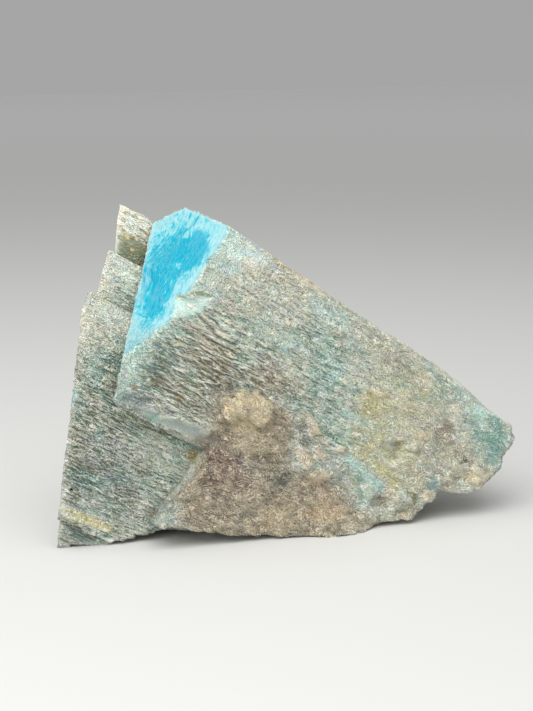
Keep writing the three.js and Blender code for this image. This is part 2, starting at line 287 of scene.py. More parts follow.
def patches(points, spots, soft):
    """How strongly each point is covered by any of a list of patches."""
    cover = np.zeros(len(points))
    for strength, *place in spots:
        share = strength * eased(1 + soft, 1 - soft, distance(points, *place))
        cover = np.maximum(cover, share)
    return cover


# The lists below hold patches: (strength, middle, radii) and, where it is turned, degrees. Middle
# and radii are [along, back, up]. Where back is left out, the middle lies on the front face, and the
# radius back from it is this:
PATCH_DEPTH = 4

# Where the end face is most saturated, with sideways and upward from its lowest corner.
CORE = [
    (1.8, (3.2, 37), (4.4, 1, 4.8), -20),
    (1.1, (-1, 34), (6.2, 1, 8.6), -10),
    (1.4, (-0.4, 26.5), (3.7, 1, 8.2), 4),
    (0.25, (-0.5, 18), (1.8, 1, 3)),
]

# The brown matrix on the lower front.
MATRIX = [
    (1, (-14, 6), (13, 6, 17), 20),
    (1, (4, 5), (17, 6, 13), 20),
    (1, (-17, 21), (11, 7)),
]
# Where the crystals are coarsely striated.
COARSE = [
    (1, (-32, 27), (14, 13)),
    (0.35, (-12, 34), (16, 6)),
    (0.65, (-42, 8.2, -2), (24, 3, 22)),
]
# Where small blocky crystals stand along the broken lower right edge.
BLOCKY = [
    (1, (30, 25), (12, 6, 4.5), 46),
    (0.8, (17, 11), (8, 6, 4), 35),
    (0.25, (40, 44), (8, 7, 8), -35),
]
# Where thin even lines take the place of folds: the tops of the crystals behind.
SILKY = [
    (1, (-60, 17, 48), (8, 7)),
    (0.7, (-58, 12.5, 37), (8, 3, 8)),
    (0.6, (-56, 8.2, 25), (7, 3, 7)),
]
# Where a face is smooth: the ledge under the lead crystal, and the lower part of the spike.
SMOOTH = [
    (0.9, (-28, 1.4, 13.4), (6, 2), 2),
    (0.8, (-36, 0.8, 12.8), (8, 1.2), 3),
    (0.5, (-39, 8.2, -14.8), (6.5, 3, 1.2), 2),
    (1, (-57, 17, 43), (5, 2, 3.6), 8),
    (0.9, (-43.2, 0.5, 37.2), (5.4, 3, 2.3), 45),
    (0.8, (-42.6, 40.5), (3.8, 3, 0.9), 24),
    (0.5, (-38, 53.5), (6, 2.6), 10),
    (0.5, (38, 2, 45.5), (9, 9, 6.5), -35),
    (0.8, (29.8, 28.3), (1.8, 1.8)),
    (0.4, (12, 23.3), (6, 1.2), -15),
]
# Crusts that stand out from the face around them, with strengths in millimetres.
CRUSTS = [
    (1.3, (-19.5, 24), (5.8, 3, 3.6), 12),
    (0.8, (-24, 21.5), (3.4, 3, 3)),
    (0.5, (-14.5, 17), (6, 3, 2.6), 25),
    (0.45, (-3.9, 26.7), (1.9, 3, 0.8), -20),
    (0.55, (-2.2, 19.8), (3, 3, 1.7), -30),
    (0.55, (3.2, 17), (2.4, 3, 1.7), 20),
    (0.4, (6, 20.6), (1.4, 3, 1.3)),
    (0.4, (0.6, 22.4), (2, 3, 0.9), -40),
    (0.5, (5.6, 14.6), (2, 3, 1.2), -40),
    (1, (24.8, 21.6), (2.3, 2), 30),
    (0.8, (30, 24.6), (2.3, 1.6), 20),
    (0.5, (4.8, 25.3), (1, 3, 0.9)),
    (0.5, (20.8, 21.7), (1.1, 3, 0.9), 30),
    (0.5, (20.2, 33), (0.9, 3, 2.4), -50),
    (0.5, (18, 14), (3, 2.4), 30),
    (0.8, (39.5, 1, 35.2), (2, 1.7)),
    (0.5, (28, 44.5), (3, 3, 1.8), -40),
    (0.5, (-44.6, 1.2, 38.9), (2.2, 2, 0.9), 24),
]

# Where the face sinks in, with depths in millimetres.
DENTS = [
    (0.8, (17, 31), (2.8, 3, 2.4)),
    (0.6, (19.5, 19), (2.2, 3, 1.6)),
    (0.6, (34.6, 36.6), (0.9, 3, 0.7), -20),
    (0.5, (37, 36.4), (0.6, 3, 1)),
    (0.5, (27.5, 39), (3, 3, 3.4), -30),
    (0.6, (-6, 23.8), (4, 3, 2), -10),
    (0.5, (-5, 13.5), (3.4, 3, 1.8), 20),
    (0.5, (-19, 12), (4, 3, 3)),
    (0.4, (12, 19), (6, 2.4), -25),
    (0.4, (-12, 2), (6, 2)),
]

# Where the pale crests cover more of the stone.
FROSTED = [
    (1, (-38, 53.5), (8, 4), 10),
    (1.4, (-42, 45), (2.4, 7), 3),
    (0.7, (-20, 1, 55.4), (15, 1.6), -3),
    (0.5, (-27, 47), (12, 6), -8),
    (0.7, (31, 1, 48.5), (6, 5, 2.6), -30),
    (0.6, (4, 1, 54), (12, 1.4), -5),
    (0.6, (12, 23), (7, 1.6), -15),
    (1.6, (-56, 8.2, 27), (9, 6)),
    (1.1, (-58.5, 12.5, 37), (7, 3, 7)),
    (1, (-60, 17, 50), (6, 5)),
    (1.8, (-25.5, 7, 4.5), (4.8, 5, 7)),
    (0.9, (-39, 8.2, -14.8), (6.5, 3, 1.2), 2),
    (0.7, (-17.5, 20.6), (6.6, 3.6), 12),
    (1.4, (-12.4, 24.4), (2.2, 2)),
    (1, (-24, 16), (3, 4.4)),
    (1.3, (-7.4, 22.8), (2.4, 2.2)),
    (1.1, (3.3, 27.9), (2.2, 2)),
    (0.8, (-36, 33), (5, 3), 10),
    (0.7, (-26, 33.5), (4, 3)),
    (0.7, (7, 15.6), (5, 2.4), -20),
    (0.6, (-14, 3.5), (4, 3)),
]
# Where the pale crests are held back and the stone is darker.
DULLED = [
    (1.3, (-24.7, 4, -7), (2.4, 6, 4)),
    (1.2, (-37, 8.2, -19), (9, 3, 2.2)),
    (0.8, (-32, 1.2, 13.6), (10, 3, 2.4), 2),
    (1.9, (-45.5, 1, 17.5), (5.8, 6, 11), -8),
    (0.7, (-32, 20.5), (8, 3, 4)),
    (0.9, (-22, 27.8), (5, 2), 12),
    (0.6, (-10.8, 29.2), (3, 3)),
    (0.6, (1.6, 23.4), (2, 2)),
    (0.6, (-6, 11), (5, 3), 20),
    (0.9, (-52, 8.2, 22.5), (3, 3, 5)),
    (0.6, (-35.5, 8.2, -3), (6.5, 3, 5), -20),
    (0.5, (-43, 8.2, -8), (4, 3, 5)),
    (0.8, (-18, 9), (6, 5, 6), 20),
]
# Edges that get little painted highlight.
BLUNT = [
    (1, (-22.5, 2, 0), (4, 14)),
    (1, (-24, 5, -9), (4, 6, 6)),
]
# Corners worn round.
WORN = [
    (1, (-44, 0.8, 39), (3.4, 2.6, 1.7), 24),
]

# Tints by name, in the order in which they are laid over each other.
TINTS = {}
TINTS["teal"] = [
    (0.45, (-13, 48), (6, 4)),
    (0.65, (-8, 42), (5, 10), 35),
    (0.6, (-1, 32), (6, 3.4), -40),
    (0.6, (-15, 43), (9, 4), 20),
    (0.45, (-26, 37), (9, 5)),
    (0.5, (-42, 24), (3, 6)),
    (0.5, (-27, 47), (9, 5)),
    (0.9, (38, 2, 45.5), (10, 9, 6.5), -35),
    (0.6, (20, 2, 51), (14, 6, 1.6), -6),
    (0.8, (-50.5, 8.2, 17), (3.4, 3, 7)),
    (0.9, (-43.5, 8.2, -6.5), (5, 3, 2), 5),
    (0.6, (-54, 8.2, 6), (3, 3, 4)),
    (0.6, (-26, 8.2, 3), (5, 3, 8)),
    (0.7, (-37, 8.2, -19), (8, 3, 3)),
    (0.5, (-38, 8.2, 8), (9, 3, 2.4)),
    (0.5, (-23.5, 6, 2), (3, 10)),
]
TINTS["cyan"] = [
    (1.8, (-38.5, 1, 54), (7, 5, 3.4), 12),
    (1.3, (-42.3, 48), (2.6, 8), 5),
    (1.8, (-43.2, 0.8, 37.2), (5.4, 2.3), 45),
    (0.4, (-46.5, 2, 24), (3, 6, 8)),
    (0.5, (-27, 42), (5, 4)),
    (0.45, (-13, 47), (5, 4)),
    (0.75, (9.4, 23.9), (2.6, 1.2), -15),
    (0.75, (14.6, 22.5), (4.6, 1.5), -15),
    (0.8, (24.6, 22.2), (2, 1.6)),
    (0.7, (30.4, 22.8), (1.8, 1.4)),
    (0.7, (-55, 8.2, 9), (2, 3, 3)),
    (0.8, (-60.5, 17, 49), (5, 3, 2.6)),
    (0.7, (-59, 12.5, 38), (5, 3, 2.4)),
    (0.8, (31, 48.5), (9, 6, 2), -25),
    (0.9, (-55.5, 12.5, 34), (6, 3, 4.4)),
    (0.9, (-13, 51), (6, 2.6), -5),
    (0.7, (-8, 36.5), (3, 4)),
]
TINTS["chalk"] = [
    (0.6, (-30, 50), (14, 6), -4),
    (1.1, (-38, 52.5), (6, 3.6), 10),
    (1.3, (-60, 17, 50), (6, 3.6)),
    (0.9, (-58.5, 12.5, 37), (6, 3, 5)),
    (1.3, (-55, 8, 28), (10, 6, 3.4)),
    (0.8, (-58, 8, 24), (4, 5)),
    (0.5, (-54, 8.2, 16), (3, 3, 6)),
    (0.4, (-27, 8.2, 3), (5, 3, 8), -20),
    (0.3, (-28, 1.5, 13.2), (7, 3, 1.8), 2),
    (0.6, (-43, 0.5, 37.2), (4.4, 3, 1.8), 45),
    (1, (-35, 53.5), (8, 5, 2.4)),
    (0.9, (2, 1.5, 54.2), (14, 3, 1.4), -5),
    (0.6, (-19, 57), (20, 5, 2), -3),
    (1, (22, 53), (16, 5, 1.2), -6),
]
TINTS["beige"] = [
    (0.8, (-4, 24), (4.5, 5), -20),
    (0.6, (-20, 52), (15, 4), -4),
    (0.5, (-33, 44), (8, 8), 20),
    (0.6, (3, 51), (10, 4), -6),
    (0.6, (17, 41), (15, 10), -20),
    (0.7, (38, 1, 34), (5, 6, 5)),
    (0.8, (28, 33), (14, 6, 8), 40),
    (0.7, (25, 20), (9, 6, 6), 30),
    (0.6, (14, 11), (9, 6, 5), 30),
    (0.6, (-2, 4), (10, 6, 5), 30),
]
TINTS["yellow"] = [
    (0.6, (8, 38), (6, 5)),
    (1, (6.8, 38.4), (3, 2.2)),
    (0.7, (11.5, 29.8), (1.8, 4.4), -20),
    (0.8, (16.9, 26), (2.8, 1.4), -15),
    (0.8, (20.9, 24.3), (1.9, 1.1), -20),
    (0.8, (26.9, 24.3), (1.1, 2.6), 10),
    (0.8, (17.4, 46.5), (1.2, 3, 1.2)),
    (0.4, (12, 41), (12, 9), -20),
    (1.3, (-39, 8.2, -14.8), (7, 3, 1.2), 2),
    (1.1, (-23, 8, 8.8), (1.9, 3, 1.7)),
    (0.7, (-58.8, 8.2, 25), (2, 3, 1)),
    (0.5, (-36, 22), (2, 3, 1), 20),
    (0.5, (24.7, 25.6), (2.4, 3, 1.4)),
]
TINTS["brown"] = [
    (0.8, (-17, 31.5), (7, 4), 10),
    (0.5, (-16, 31), (14, 4), 10),
    (0.8, (-32, 29), (10, 6), -20),
    (0.5, (-34, 19), (9, 4)),
    (0.5, (9, 49.5), (6, 3.4)),
    (0.6, (25, 39.5), (6, 4), -40),
    (0.6, (31.6, 37), (4, 2), -30),
    (0.5, (17, 31), (3.2, 2.8)),
    (0.7, (19.5, 19), (2.6, 2)),
    (0.4, (-22, 45), (8, 2.6)),
    (0.5, (-20, 17), (7, 4)),
    (0.5, (-6, 12), (8, 5), 20),
    (1, (-18, 8), (6, 5, 6), 20),
]
TINTS["mauve"] = [
    (0.8, (-19, 9.5), (6, 5, 6)),
    (0.5, (-13, 7), (5, 5, 5)),
    (0.5, (-41, 33), (2.6, 3, 2)),
    (0.5, (-19, 33.5), (3.6, 3, 2)),
    (0.6, (26.5, 40.6), (3.4, 2.4), -30),
    (0.35, (-12, 0), (9, 5, 3)),
]
TINTS["cream"] = [
    (0.8, (-17.5, 21.4), (6, 3.2), 12),
    (0.75, (-19.5, 25.8), (5, 1.9), 12),
    (0.95, (-23.8, 22.4), (2.6, 2)),
    (0.5, (-14, 17.5), (6, 2.4), 25),
    (0.5, (-2, 7), (6, 3), 40),
    (0.45, (5, 11), (7, 3), 30),
    (0.8, (23, 13.5), (12, 6, 2), 46),
    (0.7, (39.5, 1, 35), (4, 2.6), 20),
    (0.9, (4.8, 25.3), (1, 0.9)),
    (0.9, (20.9, 24.2), (1.3, 0.8), -20),
    (0.9, (29.9, 25), (2, 1.1), 20),
    (0.6, (20.2, 33), (0.9, 2.4), -50),
    (0.9, (-40, 8.2, -14.8), (6, 3, 0.8), 2),
    (0.5, (15.7, 48), (4, 2.4)),
    (0.6, (22, 37), (4, 1.6), 60),
    (0.7, (-56, 7, 27.5), (8, 3, 2.2), -3),
    (0.8, (-23, 1.5, 55.6), (11, 3, 1.4), -3),
]
TINTS["salmon"] = [
    (1, (-3.9, 26.7), (2, 3, 0.9), -20),
    (0.9, (-2.2, 19.8), (3.2, 3, 1.9), -30),
    (0.8, (3.2, 17), (2.6, 3, 2), 20),
    (0.4, (-10, 22), (4, 3, 1.6)),
    (0.7, (9, 11), (6, 3, 3), 30),
    (0.5, (-1, 3), (7, 2.4), 30),
    (0.9, (20.8, 21.7), (1.1, 3, 0.9), 30),
    (0.8, (0.6, 22.4), (2, 3, 0.9), -40),
    (0.7, (5.6, 14.6), (2, 3, 1.2), -40),
    (0.4, (-16, 0), (7, 5, 3)),
]
TINTS["slate"] = [
    (0.7, (-6, 23.5), (5, 3), -10),
    (0.6, (-5, 13.5), (5, 3), 20),
    (0.5, (6, 21), (4, 4)),
    (0.5, (-24, 8.2, -10), (5, 3, 2), 20),
    (0.5, (-42, 8.2, 3), (7, 3, 3)),
    (0.6, (26.4, 32.9), (3, 2.4)),
    (0.7, (-37.7, 8.2, -17), (7, 3, 1.1), 2),
    (0.6, (-13, 13), (5, 2.4)),
    (0.5, (19, 21), (3, 2.4)),
    (0.4, (-12, 1), (8, 5, 3)),
    (0.7, (-31, 1.2, 13.4), (10, 3, 1.9), 2),
    (1, (-44, 0.5, 12.8), (4.5, 2.6)),
    (0.6, (-43, 8.2, -8), (13, 3, 12)),
    (0.8, (-36, 8.2, -19.5), (8, 3, 2.4)),
    (0.6, (-23.5, 4, -3), (2, 5, 9)),
]
TINTS["lemon"] = [
    (1, (16.6, 25.8), (3.4, 1.3), -15),
    (0.6, (6.8, 38), (4.2, 3)),
    (0.5, (11.2, 31), (3, 5), -20),
    (0.55, (13, 28), (9, 4.4), -15),
    (0.5, (20, 30.5), (4, 4)),
    (0.7, (-39.5, 8.2, -14.7), (6.5, 3, 0.9), 2),
    (0.8, (20.9, 24.3), (1.9, 1.1), -20),
]
TINTS["band"] = [
    (1.2, (10.5, 23.6), (3.4, 1.2), -15),
    (1.2, (16, 22.3), (3.4, 1.3), -15),
    (0.9, (24.4, 21.9), (1.8, 1.4)),
]
TINTS["facet"] = [
    (1.2, (29.8, 28.3), (1.6, 1.5)),
]
TINTS["seam"] = [
    (1.2, (-42.4, 0.3, 39.4), (4, 3, 0.45), 24),
    (1, (-11.8, 39), (0.35, 3, 5), -9),
    (0.9, (-21, 46), (0.3, 3, 1.6), -40),
    (0.8, (-35, 54.6), (7, 3, 0.3), -12),
    (0.8, (-34, 52.4), (6, 3, 0.25), -16),
]
TINTS["ice"] = [
    (1.4, (-39.5, 0.6, 54.6), (5.5, 2.4), 10),
    (1, (-42.6, 49.5), (1.8, 5), 5),
    (0.8, (-34, 0.6, 54.4), (6, 1.4), -5),
    (0.7, (-56, 8.2, 28.4), (6, 3, 2.6)),
    (0.6, (-58.5, 12.5, 37), (4, 3, 2.6)),
    (1.3, (-41.8, 45.5), (2.2, 6)),
    (1, (-39.5, 50), (3, 3)),
    (0.8, (-41, 41.5), (4, 1.4), 24),
    (0.6, (-13, 51.2), (6, 2.4), -5),
]
TINTS["deep_teal"] = [
    (0.8, (39.5, 2, 43.5), (6.5, 9, 4.6), -50),
    (0.5, (34, 2, 44), (3, 6, 2), -35),
    (0.8, (-43.5, 8.2, -6.5), (4, 3, 1.8), 5),
    (0.5, (-26, 8.2, 3), (3, 3, 5)),
]
# Painted shade, in olive: a thin line under the ledge, the underside of the chipped roof, and the
# spike's lower face.
TINTS["olive_shade"] = [
    (1.4, (-57, 17, 42.5), (6, 3, 3.6), 8),
    (1.6, (-42.6, 40.5), (3.6, 3, 0.6), 24),
    (0.9, (-35, 6, 9.9), (11, 0.4), 4),
]
# Tints whose patches keep their shape, and those with ragged borders; the others' borders wander.
FIXED = ("olive_shade", "lemon", "band", "facet", "ice", "seam")
CRUSTY = ("cream", "salmon")
# Faces that the photo doesn't show are tinted in clouds: strength, and where in the noise to start.
CLOUDS = {
    "teal": (1.0, 21.3),
    "cyan": (0.7, 33.3),
    "cream": (0.6, 47.7),
    "brown": (0.9, 59.1),
    "chalk": (0.8, 67.9),
}
# The front's own colour also drifts, more weakly.
DRIFTS = {
    "teal": (0.8, 11.7),
    "cyan": (0.75, 5.1),
    "beige": (0.2, 29.1),
    "yellow": (0.25, 91.3),
}
# Single spots by colour: along, back, up and the radius.
SPOTS = {
    "speck": [(2.1, 0, 26.6, 0.4), (-13.8, 0, 28.2, 0.45), (-45, 8.2, -10.2, 0.5), (-25, 8.2, 1, 0.35)],
    "gold": [
        (-45.3, 0, 24.8, 0.5),
        (-41.3, 0, 29.5, 0.45),
        (-42.6, 0, 18.3, 0.5),
        (-45.5, 0, 16.2, 0.6),
        (-35.3, 0, 18.6, 0.5),
        (-37, 0, 28.8, 0.45),
        (-22.9, 8.2, 8.9, 0.6),
        (-42.4, 8.2, -14.6, 0.5),
        (-38.6, 8.2, -14.8, 0.55),
        (-35.4, 8.2, -14.9, 0.45),
        (-58.8, 8.2, 27.6, 0.5),
        (-27.5, 0, 55, 0.5),
        (-20, 0, 55.5, 0.45),
    ],
    "straw": [
        (-57.9, 17, 45.5, 0.6),
        (-55.6, 17, 43.4, 0.5),
        (-59.3, 17, 45.6, 0.4),
        (-60.6, 17, 46.4, 0.4),
        (-56, 17, 46.2, 0.4),
    ],
    # A dark spot of painted shade in a small hollow.
    "hollow_shade": [(35.1, 0, 36.8, 0.4), (35.7, 0, 36.9, 0.35)],
}


# ---- regions ----


def heights_of(points):
    """Heights over the floor, in millimetres."""
    row_up = np.array(TO_ROW)[2] / MM
    return points @ row_up[:3] + row_up[3]


def before_end(points):
    """How far points lie before the lead crystal's end face, in millimetres."""
    return (points - END_LOW) @ END_NORMAL


def on_end_face(points):
    """Points as the end face has them: [sideways, 0, upward] from its lowest corner."""
    offset = points - END_LOW
    return np.stack([offset @ END_SIDEWAYS, np.zeros(len(points)), offset @ END_UPWARD], axis=1)


def end_share(points, facings, wandered):
    """The turquoise end face: low down it is weathered like the front, up to a slanting border."""
    on_plane = eased(0.9, 0.5, np.abs(before_end(points)))
    sideways, _, upward = on_end_face(wandered).T
    above_border = eased(*BORDER_FADE, upward - BORDER_SLOPE * sideways - BORDER_MM)
    return on_plane * eased(0.72, 0.9, facings @ END_NORMAL) * above_border


def matrix_share(points, facings, wandered):
    """The brown matrix: on the lower front, round its left edge, and in spots low on the back."""
    front = eased(0.2, 0.7, -facings[:, 1]) * eased(7, 5, points[:, 1])
    wrapped = eased(0.5, 0.8, -facings[:, 0]) * eased(7, 4.5, wandered[:, 1])
    front = np.maximum(front, wrapped * eased(-30, -27, points[:, 0]))
    low = eased(13, 5, heights_of(points)) * eased(0.0, 0.35, noise(points, (9, 7, 7), 51.3))
    back = low * eased(-0.2, 0.3, facings[:, 1])
    return np.maximum(patches(wandered, MATRIX, 0.2) * front, back)


def torn_share(facings):
    """Broken stone: the faces that look to the right or down."""
    down = np.array(TO_ROW.to_3x3().inverted() @ Vector((0, 0, -1)))
    down /= np.linalg.norm(down)
    return np.maximum(eased(0.35, 0.7, facings[:, 0]), eased(0.35, 0.7, facings @ down))


def regions(points, facings):
    """What the stone is at each point, as named shares from 0 to 1."""
    wandered = wandering(points, 5, 1.6)
    end = end_share(points, facings, wandered)
    matrix = matrix_share(points, facings, wandered)
    torn = torn_share(facings) * (1 - matrix)
    smooth = patches(points, SMOOTH, 0.15)
    grown = np.clip(1 - matrix - torn - end, 0, 1) * (1 - 0.85 * smooth)
    # Striae show on the faces along the crystals, and fade to the right.
    coarse = patches(wandered, COARSE, 0.3) * (1 - matrix)
    striated = 0.4 + 0.7 * coarse + 0.35 * noise(points, (7, 5, 5), 2.2)
    striated = np.clip(striated, 0.1, 1.2) * eased(*STRIAE_RANGE, points[:, 0] * -facings[:, 1])
    return SimpleNamespace(
        end=end,
        matrix=matrix,
        smooth=smooth,
        grown=grown,
        striated=striated * eased(1.0, 0.6, -facings[:, 0]),
        blocky=np.maximum(patches(wandering(points, 4, 1.0), BLOCKY, 0.3) * (1 - end), torn),
        silky=patches(points, SILKY, 0.3) * (1 - end),
        broken=np.clip(0.55 + 1.2 * noise(points, (4, 2.2, 2.2), 83.9), 0, 1),
    )


# ---- relief ----


def striae(points):
    """A number that grows by one from each stria to the next, up across the crystals."""
    bends = 1.2 * noise(points, (9, 4, 4), 5.5) + 0.55 * noise(points, (6, 2.2, 2.2), 31.2)
    return (points[:, 1] + points[:, 2]) / STRIA_MM + bends


def shingle(stria):
    """Each stria's profile, 0 to 1: it stands out over a sharp drop, and sinks slowly upward."""
    part = stria % 1
    return eased(0, 0.25, part) * (1 - part) / 0.8


def raggedly(points):
    """The points moved so that borders drawn on them are ragged, as a crust's are."""
    return wandering(wandering(points, 3, 1.1), 1.1, 0.35)


def relief(points, share):
    """How far the stone stands out at each point, in millimetres."""
    # On the crystals: folds, thin ridges and flat swells.
    folds = FOLD_MM * share.broken * (shingle(striae(points)) - 0.4)
    ridged = 1 - 3 * np.minimum(np.abs(noise(points, (4.5, 1, 1), 27.7)), 0.6)
    swells = SWELL_MM * blocks(points, (8, 7, 7), 43.1) * eased(*SWELL_RANGE, points[:, 0])
    # On broken stone: facets. On the matrix: lumps with creases between them.
    facets = 0.9 * blocks(points, (6, 5, 5), 4.4) + 0.2 * blocks(points, (2.4, 2, 2), 8.8)
    creased = np.abs(noise(points, (2.2, 1.6, 1.6), 12.9))
    lumps = 0.55 * noise(points, (4.5, 4, 4), 7.7) - 0.6 * creased
    lumps += 0.3 * blocks(points, (2.4, 2, 2), 71.3)
    # On all but the end face: a rough skin.
    rough = 0.22 * noise(points, (1.8, 1.1, 1.1), 61.7) + 0.1 * noise(points, (0.9, 0.7, 0.7), 15.1)

    height = share.grown * share.striated * (folds + RIDGE_MM * ridged)
    height += share.matrix * lumps + share.blocky * facets + swells * share.grown
    height += (1 - 0.7 * share.smooth) * (1 - 0.6 * share.silky) * rough * (1 - share.end)
    height += patches(raggedly(points), CRUSTS, 0.14) * (1 - share.end)
    return height - patches(wandering(points, 3, 1.1), DENTS, 0.4) * (1 - share.end)


def blended(points, others, share):
    """The points, each moved that share of the way to the others."""
    return points * (1 - share[:, None]) + others * share[:, None]


def worn(points, moved, neighbours):
    """The moved points, smoothed where the solid has an edge, and more so at the worn corners."""
    edge = np.linalg.norm(neighbours.average(points) - points, axis=1)
    wear = EDGE_WEAR + EDGE_WEAR_CHANGE * noise(points, (2, 2, 2), 6.6)
    moved = blended(moved, neighbours.average(moved), eased(0.04, 0.14, edge) * wear)
    corners = patches(points, WORN, 0.3)
    for _ in range(WEAR_ROUNDS):
        moved = blended(moved, neighbours.average(moved), corners)
    return moved


def blunt_share(points):
    """Where edges are worn soft and get little painted highlight: the end face's front edge, and where
    BLUNT and WORN say.
    """
    near_front = eased(2.5, 1, np.abs(points[:, 1])) * eased(1.5, 0.6, np.abs(before_end(points)))
    return np.maximum(near_front, patches(points, BLUNT + WORN, 0.3))


# ---- what the material reads ----


def unseen_share(points, facings, end):
    """Faces that the photo doesn't show: those to the back, and the rear crystals' left ends."""
    back = eased(-0.5, 0.1, facings[:, 1]) * eased(-45, -35, points[:, 0])
    left = eased(0.7, 0.9, -facings[:, 0]) * eased(9, 12, points[:, 1])
    return np.maximum(back, left) * (1 - end)


def tint_covers(points, facings, share):
    """How strongly each tint covers each point, by the tint's name."""
    ragged = raggedly(points)
    wandered = wandering(wandering(points, 4.5, 1.1), 1.4, 0.6)
    unseen = unseen_share(points, facings, share.end)
    covers = {}
    for name, spots in TINTS.items():
        if name in FIXED:
            cover = patches(points, spots, 0.3)
        elif name in CRUSTY:
            cover = patches(ragged, spots, 0.3)
        else:
            cover = patches(wandered, spots, 0.8)
        if name in CLOUDS:
            strength, start = CLOUDS[name]
            cloud = eased(-0.05, 0.6, noise(wandered, (18, 8, 8), start))
            cover = np.maximum(cover, unseen * strength * cloud)
        if name in DRIFTS:
            strength, start = DRIFTS[name]
            cloud = eased(0.05, 0.6, noise(wandered, (7, 4, 4), start))
            cover = np.maximum(cover, (1 - unseen) * (1 - share.matrix) * strength * cloud)
        covers[name] = cover
    return covers


def end_face_covers(points, place, edge_highlight):
    """The end face's core, its pale rim with the painted edge highlight, its weathered foot, and the
    colour that fringes it.
    """
    upward = place[:, 2]
    # The rim is even along the rear edge, and in ragged strokes along the front edge.
    strokes = points[:, 1] + 0.9 * noise(place, (1.2, 1, 4), 19.3) + 0.8 * noise(place, (4, 1, 6), 29.9)
    verge = np.maximum(0.5 * eased(2.0, -0.6, strokes), eased(13.4, 15.6, strokes))
    depth = -before_end(points)
    fringe = eased(4, 0.5, depth) * eased(-1.2, -0.4, depth) * eased(15.5, 14, points[:, 1])
    fringe *= (0.3 + 0.7 * eased(22, 42, upward)) * (1 - patches(points, TINTS["olive_shade"], 0.3))
    return {
        "core": patches(wandering(place, 3, 0.8), CORE, 0.6),
        "verge": np.maximum(verge, edge_highlight),
        "haze": eased(21, 12, upward + 2 * noise(points, (2, 2, 2), 73.3)),
        "fringe": np.clip(fringe, 0, 1),
    }


def edge_covers(moved, facings, neighbours, blunt):
    """Where the relief stands up or sinks in, from the finest crests to the deep creases; the colour
    paints highlight where it stands up and shade where it sinks in.
    """
    ridges = eased(0.05, -0.4, depth_below(moved, facings, neighbours, 12))
    return {
        "crests": np.clip(0.5 - 2.6 * depth_below(moved, facings, neighbours, 3), 0.1, 0.8),
        "ridges": ridges * (1 - 0.8 * blunt),
        "creases": eased(0.12, 0.6, depth_below(moved, facings, neighbours, 24)),
    }


def contrast_covers(points, share):
    """How strong the fine relief's colours are, how calm its lines, and how much is pale."""
    crisp = 0.6 + 0.4 * eased(*CRISP_RANGE, points[:, 0]) + 0.2 * share.matrix + 0.3 * share.blocky
    # The left ends of the rear crystals are the crispest.
    rear_left = eased(5, 8, points[:, 1]) * eased(-38, -50, points[:, 0])
    crisp = np.clip(crisp, 0, 1) + 0.6 * rear_left
    drifted = wandering(points, 4, 1.0)
    return {
        "crisp": crisp * (1 + 0.25 * noise(points, (6, 5, 5), 37.7)),
        "calm": np.maximum(eased(*CALM_RANGE, points[:, 0]), 0.7 * share.matrix),
        "frosted": patches(drifted, FROSTED, 0.5) - patches(drifted, DULLED, 0.5),
    }


def relieve(mesh):
    """Raises striae, crusts and grain, wears the edges, and keeps what the material reads."""
    points = points_of(mesh)
    facings = facings_of(mesh)
    neighbours = Neighbours(mesh)
    share = regions(points, facings)
    place = on_end_face(points)
    blunt = blunt_share(points)
    # The convex edges get a painted highlight: less on the blunt edges, and none on them low down on
    # the end face.
    unrimmed = blunt * (0.6 + 0.4 * eased(24, 18, place[:, 2]))
    edge_highlight = eased(-0.1, -0.36, depth_below(points, facings, neighbours, 8)) * (1 - unrimmed)

    raised = points + facings * relief(points, share)[:, None]
    moved = worn(points, raised, neighbours)
    set_points(mesh, moved)
    facings = facings_of(mesh)

    kept = {
        "crystal": points,
        "place": place,
        "stria": striae(points),
        "striated": share.grown * share.striated,
        "smooth": np.maximum(share.smooth, share.end),
        "edge_highlight": edge_highlight * (1 - 0.6 * share.matrix),
    }
    kept.update({name: getattr(share, name) for name in ("end", "matrix", "blocky", "silky", "broken")})
    kept.update(edge_covers(moved, facings, neighbours, blunt))
    kept.update(tint_covers(points, facings, share))
    kept.update(end_face_covers(points, place, edge_highlight))
    kept.update(contrast_covers(points, share))
    for name, values in kept.items():
        keep(mesh, name, values)


# ---- materials ----

# How brightly the studio lights the front and the end face: display colours are divided by it, and
# so become the stone's own.
LIGHT_ON_FRONT = 1.0
LIGHT_ON_END = 1.45
SPECULAR = 0.12
BUMP_MM = 0.2


def linear(display, light):
    """A display colour, 0 to 255, by the sRGB curve as the colour that shows so in that light."""
    channels = [value / 255 for value in display]
    lit = [c / 12.92 if c <= 0.04045 else ((c + 0.055) / 1.055) ** 2.4 for c in channels]
    return [c / light for c in lit] + [1]


